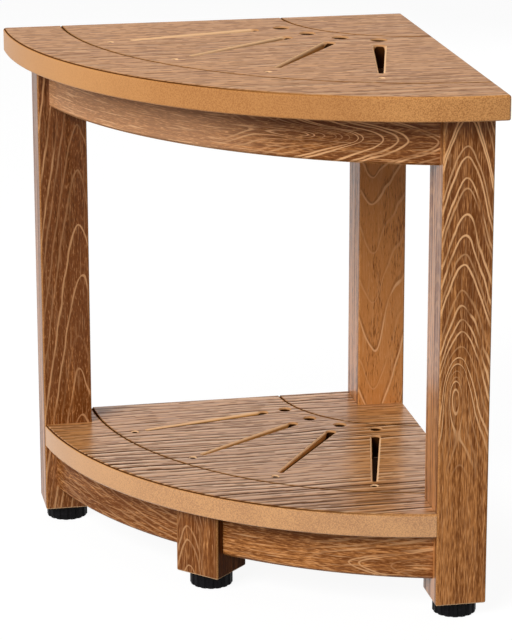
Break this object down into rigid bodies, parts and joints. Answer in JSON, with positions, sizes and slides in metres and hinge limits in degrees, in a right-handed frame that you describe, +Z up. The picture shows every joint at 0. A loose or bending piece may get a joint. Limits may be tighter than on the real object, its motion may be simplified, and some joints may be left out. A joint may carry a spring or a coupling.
{
  "type": "corner shower bench",
  "caption": "Quarter-round corner shower bench with a slotted seat and lower shelf on square legs with adjustable screw-in feet.",
  "frame": {"origin": "on the floor under the middle of the outline, with the feet screwed fully in", "axes": "+Z up; +Y towards the back wall; +X towards the side wall; the round front faces -X and -Y"},
  "size_m": [0.362, 0.362, 0.45],
  "materials": {
    "panel_board": "satin",
    "frame_board": "satin",
    "block_board": "matt",
    "stainless_steel": "brushed",
    "dowel_wood": "matt",
    "insert_brass": "satin",
    "pad_plastic": "matt"
  },
  "bodies": {
    "bench_frame": {"seat_top": "panel_board", "shelf_panel": "panel_board", "leg_left": "frame_board", "leg_right": "frame_board", "leg_back": "frame_board", "leg_front": "frame_board", "apron_seat_front": "frame_board", "apron_shelf_left": "frame_board", "apron_shelf_right": "frame_board", "rail_seat_back": "frame_board", "rail_seat_side": "frame_board", "rail_shelf_back": "frame_board", "rail_shelf_side": "frame_board", "block_seat_left": "block_board", "block_seat_right": "block_board", "block_seat_back": "block_board", "block_shelf_left": "block_board", "block_shelf_right": "block_board", "block_shelf_back": "block_board", "hanger_bolts_seat": "stainless_steel", "hanger_bolts_shelf": "stainless_steel", "hanger_nuts_seat": "stainless_steel", "hanger_nuts_shelf": "stainless_steel", "block_screws_seat": "stainless_steel", "block_screws_shelf": "stainless_steel", "seat_screws": "stainless_steel", "shelf_screws": "stainless_steel", "rail_dowels_seat": "dowel_wood", "rail_dowels_shelf": "dowel_wood", "leg_dowels": "dowel_wood", "foot_inserts": "insert_brass"},
    "left_stud": {"foot_left_stud": "stainless_steel"},
    "left_pad": {"foot_left_pad": "pad_plastic"},
    "right_stud": {"foot_right_stud": "stainless_steel"},
    "right_pad": {"foot_right_pad": "pad_plastic"},
    "back_stud": {"foot_back_stud": "stainless_steel"},
    "back_pad": {"foot_back_pad": "pad_plastic"},
    "front_stud": {"foot_front_stud": "stainless_steel"},
    "front_pad": {"foot_front_pad": "pad_plastic"}
  },
  "joints": [
    {"name": "left_foot_travel", "type": "slide", "parent": "bench_frame", "child": "left_stud", "axis": [0, 0, -1], "range_m": [0, 0.01]},
    {"name": "left_foot_turn", "type": "hinge", "parent": "left_stud", "child": "left_pad", "pos_m": [-0.136, 0.154, 0], "axis": [0, 0, -1], "range_deg": [0, 2880]},
    {"name": "right_foot_travel", "type": "slide", "parent": "bench_frame", "child": "right_stud", "axis": [0, 0, -1], "range_m": [0, 0.01]},
    {"name": "right_foot_turn", "type": "hinge", "parent": "right_stud", "child": "right_pad", "pos_m": [0.154, -0.136, 0], "axis": [0, 0, -1], "range_deg": [0, 2880]},
    {"name": "back_foot_travel", "type": "slide", "parent": "bench_frame", "child": "back_stud", "axis": [0, 0, -1], "range_m": [0, 0.01]},
    {"name": "back_foot_turn", "type": "hinge", "parent": "back_stud", "child": "back_pad", "pos_m": [0.154, 0.154, 0], "axis": [0, 0, -1], "range_deg": [0, 2880]},
    {"name": "front_foot_travel", "type": "slide", "parent": "bench_frame", "child": "front_stud", "axis": [0, 0, -1], "range_m": [0, 0.01]},
    {"name": "front_foot_turn", "type": "hinge", "parent": "front_stud", "child": "front_pad", "pos_m": [-0.03502, -0.03502, 0], "axis": [0, 0, -1], "range_deg": [0, 2880]}
  ],
  "couplings": [
    {"joint": "left_foot_travel", "follows": "left_foot_turn", "m_per_rad": 0.00019894},
    {"joint": "right_foot_travel", "follows": "right_foot_turn", "m_per_rad": 0.00019894},
    {"joint": "back_foot_travel", "follows": "back_foot_turn", "m_per_rad": 0.00019894},
    {"joint": "front_foot_travel", "follows": "front_foot_turn", "m_per_rad": 0.00019894}
  ]
}
